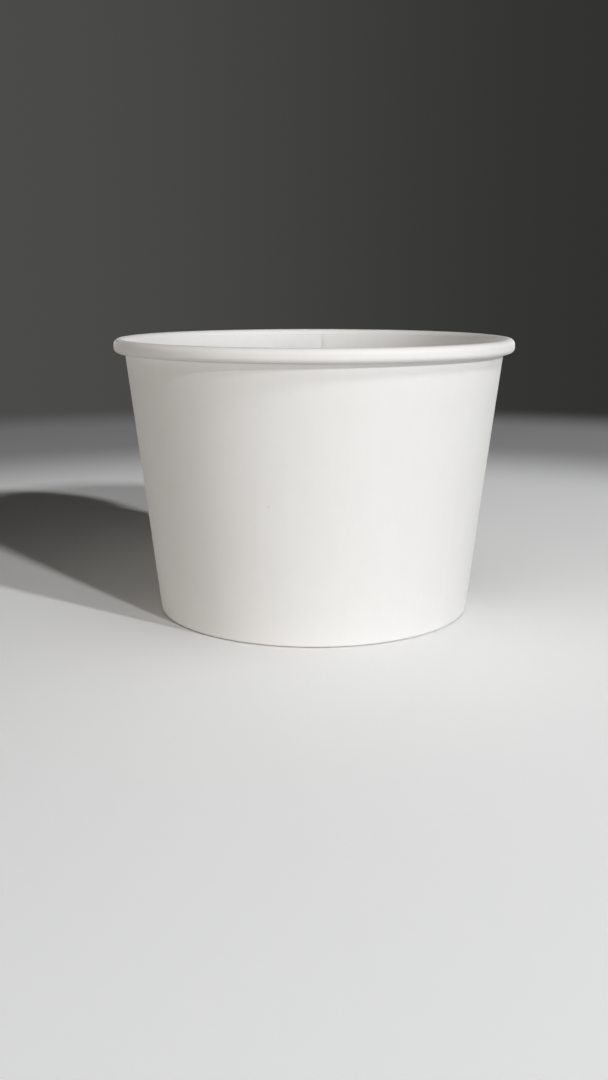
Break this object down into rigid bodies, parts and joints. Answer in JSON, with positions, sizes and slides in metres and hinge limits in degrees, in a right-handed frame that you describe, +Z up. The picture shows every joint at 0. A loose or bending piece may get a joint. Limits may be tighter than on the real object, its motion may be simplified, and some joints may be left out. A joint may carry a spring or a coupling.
{
  "type": "paper sundae cup",
  "caption": "Short wide tapered cup of white coated board for ice cream, with a rolled rim, a lapped side seam and a bottom let in above its folded foot.",
  "frame": {"origin": "centre of the foot, on the surface that the cup stands on", "axes": "+Z up along the cup's axis, +Y towards the back, near the side seam"},
  "size_m": [0.096, 0.096, 0.0663],
  "materials": {
    "wall_board": "satin coated white board",
    "bottom_board": "satin coated white board"
  },
  "bodies": {
    "root": {"side_wall": "wall_board", "bottom_disc": "bottom_board"}
  },
  "joints": []
}
